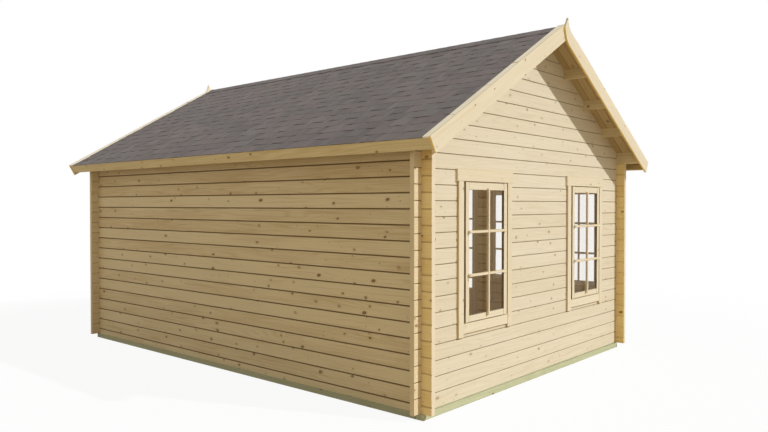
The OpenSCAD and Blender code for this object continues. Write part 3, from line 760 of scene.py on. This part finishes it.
def windows(trim, sash):
    """Two windows in the window gable and four in the front wall."""
    low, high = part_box("window_sashes")[0][2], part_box("window_sashes")[1][2]
    places = [((side * GABLE_WINDOW, -HL, 0), (X, Y, Z)) for side in (-1, 1)]
    places += [((HW, y, 0), FRONT_AXES) for y in FRONT_WINDOWS]
    casings, sashes, bars = Boards(), Boards(), Boards()
    for k, (origin, axes) in enumerate(places):
        window_casing(casings, low, high, origin, axes, 40 * k)
        window_sash(sashes, low, high, origin, axes, 40 * k)
        window_bars(bars, low, high, origin, axes, 40 * k)
    casings.make("casing_boards", trim, "cabin", "trim_wood", ("window_casings",))
    sashes.make("sash_frames", sash, "cabin", "trim_wood", ("window_sashes",))
    bars.make("glazing_bars", trim, "cabin", "trim_wood")


# ---------------------------------------------------------------- floor
def floor_planks(material):
    """Planks side by side, along the cabin."""
    (x0, y0, z0), (x1, y1, z1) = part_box("floor_boards")
    count = round((x1 - x0) / PLANK_PITCH)
    width = (x1 - x0) / count
    boards = Boards()
    for i in range(count):
        boards.box((x0 + i * width + BOARD_GAP, y0, z0 + 0.0001), (x0 + (i + 1) * width - BOARD_GAP, y1, z1),
                   (X, Y, Z), 1, PLANK_BEVEL, FLOOR_SEED + i)
    boards.make("floor_planks", material, "cabin", "floor_wood", ("floor_boards",))


# ---------------------------------------------------------------- door
def leaf_boards(side, low, high, axes):
    """Stiles, three rails and tongued panel boards between the lower two."""
    seed = LEAF_SEED + 50 * side
    left, right = LEAF_NEAR + LEAF_STILE, LEAF_FAR - LEAF_STILE
    lock = low + LEAF_PANEL - LOCK_RAIL
    boards = Boards()
    for a, b in ((LEAF_NEAR, left), (right, LEAF_FAR)):
        boards.box((a, LEAF_OUT, low), (b, LEAF_IN, high), axes, 2, BAR_BEVEL, seed + a * 10, FRONT)
    for foot, head in ((low, low + LEAF_FOOT), (lock, low + LEAF_PANEL), (high - LEAF_RAIL, high)):
        boards.box((left + 0.0005, LEAF_OUT, foot), (right - 0.0005, LEAF_IN, head), axes, 0, BAR_BEVEL,
                   seed + foot * 10, FRONT)
    width = (right - left) / PANEL_BOARDS
    for i in range(PANEL_BOARDS):
        a = left + i * width
        boards.box((a + BAR_GAP, LEAF_OUT + PANEL_SINK, low + LEAF_FOOT + 0.0002),
                   (a + width - BAR_GAP, LEAF_IN - PANEL_SINK, lock - 0.0002), axes, 2, PANEL_BEVEL,
                   seed + 20 + i, FRONT)
    return boards


def leaf_bars(side, low, high, axes):
    """Glazing bars on both faces of the pane: one upright and three across."""
    seed = LEAF_SEED + 50 * side
    left, right = LEAF_NEAR + LEAF_STILE, LEAF_FAR - LEAF_STILE
    middle = (left + right) / 2
    foot, head = low + LEAF_PANEL, high - LEAF_RAIL
    bars = Boards()
    for front, back in ((LEAF_OUT + 0.001, LEAF_PANE - 0.0004), (LEAF_PANE + 0.0044, LEAF_IN)):
        bars.box((middle - BAR, front, foot + BAR_GAP), (middle + BAR, back, head - BAR_GAP), axes, 2,
                 BAR_BEVEL, seed + 30, FRONT)
        for row in (1, 2, 3):
            z = head - row * LEAF_BAR_PITCH
            for a, b in ((left, middle - BAR), (middle + BAR, right)):
                bars.box((a + BAR_GAP, front, z - BAR), (b - BAR_GAP, back, z + BAR), axes, 0, BAR_BEVEL,
                         seed + 31 + row, FRONT)
    return bars


def door(trim):
    """Both leaves, mirrored about the doorway's middle, and the casing boards round them."""
    low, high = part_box("far_leaf")[0][2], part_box("far_leaf")[1][2]
    for side, word in ((1, "far"), (-1, "near")):
        axes = (Y * side, -X, Z)
        body = word + "_leaf_body"
        boards, bars = leaf_boards(side, low, high, axes), leaf_bars(side, low, high, axes)
        boards.make(word + "_leaf_boards", trim, body, "trim_wood", (word + "_leaf",))
        bars.make(word + "_leaf_bars", trim, body, "trim_wood")
    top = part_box("door_head_casing")[0][2]
    outer = DOOR_HALF + CASING
    boards = Boards()
    for side in (-1, 1):
        a, b = sorted((side * DOOR_HALF, side * outer))
        boards.box((a, -CASING_DEPTH, Z0), (b, 0, top - 0.0005), FRONT_AXES, 2, TRIM_BEVEL, DOOR_SEED + side,
                   FRONT)
    boards.make("door_casing_boards", trim, "cabin", "trim_wood", ("door_side_casings",))
    boards = Boards()
    boards.box((-outer - HEADER_EAR, -CASING_DEPTH, top), (outer + HEADER_EAR, 0, top + HEADER), FRONT_AXES,
               0, TRIM_BEVEL, DOOR_SEED + 5, FRONT)
    boards.make("door_head_board", trim, "cabin", "trim_wood", ("door_head_casing",))


# ---------------------------------------------------------------- stage, light and camera
def link(name, data):
    """A new object in the scene."""
    item = bpy.data.objects.new(name, data)
    bpy.context.scene.collection.objects.link(item)
    return item


def white_world():
    """White where the camera sees it, and a dim warm fill for the cabin."""
    world = bpy.data.worlds.new("studio")
    bpy.context.scene.world = world
    world.use_nodes = True
    world.node_tree.nodes.clear()
    t = Net(world.node_tree)
    fill = t.add("ShaderNodeBackground", (1.0, 0.96, 0.90, 1.0), 0.38)
    white = t.add("ShaderNodeBackground", (1.0, 1.0, 1.0, 1.0), 1.0)
    t.node("ShaderNodeOutputWorld", t.add("ShaderNodeMixShader", t.seen(), fill, white))


def studio_floor():
    """White floor that takes the cabin's shadow near it, and lights the cabin from below in a warm tone."""
    mesh = bpy.data.meshes.new("studio_floor")
    r = 60.0
    mesh.from_pydata([(-r, -r, 0), (r, -r, 0), (r, r, 0), (-r, r, 0)], [], [(0, 1, 2, 3)])
    m, t = new_material("studio_floor")
    warm = t.add("ShaderNodeBsdfDiffuse", (0.60, 0.50, 0.36, 1.0))
    pale = t.add("ShaderNodeBsdfDiffuse", (0.85, 0.85, 0.85, 1.0))
    glow = t.add("ShaderNodeEmission", (1.0, 1.0, 1.0, 1.0), 1.0)
    x, y, _ = t.xyz(t.place())
    share = t.span(t.length(x, y), 5.0, 9.0, 0.92, 1.0)
    shown = t.add("ShaderNodeMixShader", share, pale, glow)
    t.surface(t.add("ShaderNodeMixShader", t.seen(), warm, shown))
    mesh.materials.append(m)
    link("studio_floor", mesh)


def sun_lamp(name, energy, angle, colour, aim):
    """Sun that shines along aim; angle is its width in degrees."""
    lamp = bpy.data.lights.new(name, "SUN")
    lamp.energy, lamp.angle, lamp.color = energy, math.radians(angle), colour
    link(name, lamp).rotation_euler = Vector(aim).to_track_quat("-Z", "Y").to_euler()


def room_lamp(y):
    """Unseen lamp that stands in for daylight bounced about the room."""
    lamp = bpy.data.lights.new("room", "POINT")
    lamp.energy, lamp.shadow_soft_size, lamp.color = 13.0, 0.35, (1.0, 0.92, 0.80)
    item = link("room", lamp)
    item.location = (0.2, y, 1.75)
    item.visible_camera = item.visible_glossy = item.visible_transmission = False


def camera():
    """The photo's view. Its place is counted in log courses from the cabin's near corner."""
    lens = bpy.data.cameras.new("view")
    lens.sensor_width, lens.lens, lens.clip_end = 36.0, 32.506, 300
    item = link("view", lens)
    item.location = (-33.209 * LOG - HW, -25.907 * LOG - HL, 12.767 * LOG + Z0)
    item.rotation_euler = (math.radians(90 - 0.947), 0, math.radians(-48.944))
    bpy.context.scene.camera = item


# ---------------------------------------------------------------- the cabin
# Casings, bars and leaves: their bevels and narrow faces are tinted golden, painted bounce light.
trim_wood = joinery_wood("trim_wood", 0.7, srgb(190, 152, 76))
# Sashes: their bevels and narrow faces are darkened, painted shade in the gaps round them.
sash_wood = joinery_wood("sash_wood", 1.3, srgb(104, 86, 48))
# Roof boards: a darker, browner wood, painted shade under the roof.
roof_wood = board_wood("roof_wood", SOFFIT_SHADED, 0.9, 0.6, KNOT, 0.30)
floor_wood = board_wood("floor_wood", SHADED_WOOD, 0.9, 0.6, KNOT, 0.5)
shingle = shingle_material()
paint_nodes(glass_material(), steel_material())

draws = random.Random(7)
for slope_sign, slope_word in ((1, "front"), (-1, "back")):
    roof_boards(slope_sign, slope_word, roof_wood)
    shingles(slope_sign, slope_word, shingle, draws)
ridge_caps(shingle, draws)
windows(trim_wood, sash_wood)
floor_planks(floor_wood)
door(trim_wood)

white_world()
studio_floor()
sun_lamp("key", 2.8, 1.2, (0.95, 0.97, 1.0), (-0.43, 1.0, -0.82))
room_lamp(-1.35)
room_lamp(1.35)
sun_lamp("side_fill", 0.4, 80.0, (1.0, 0.95, 0.86), (1.0, -0.15, -0.3))
camera()
bpy.context.scene.view_settings.view_transform = "Standard"
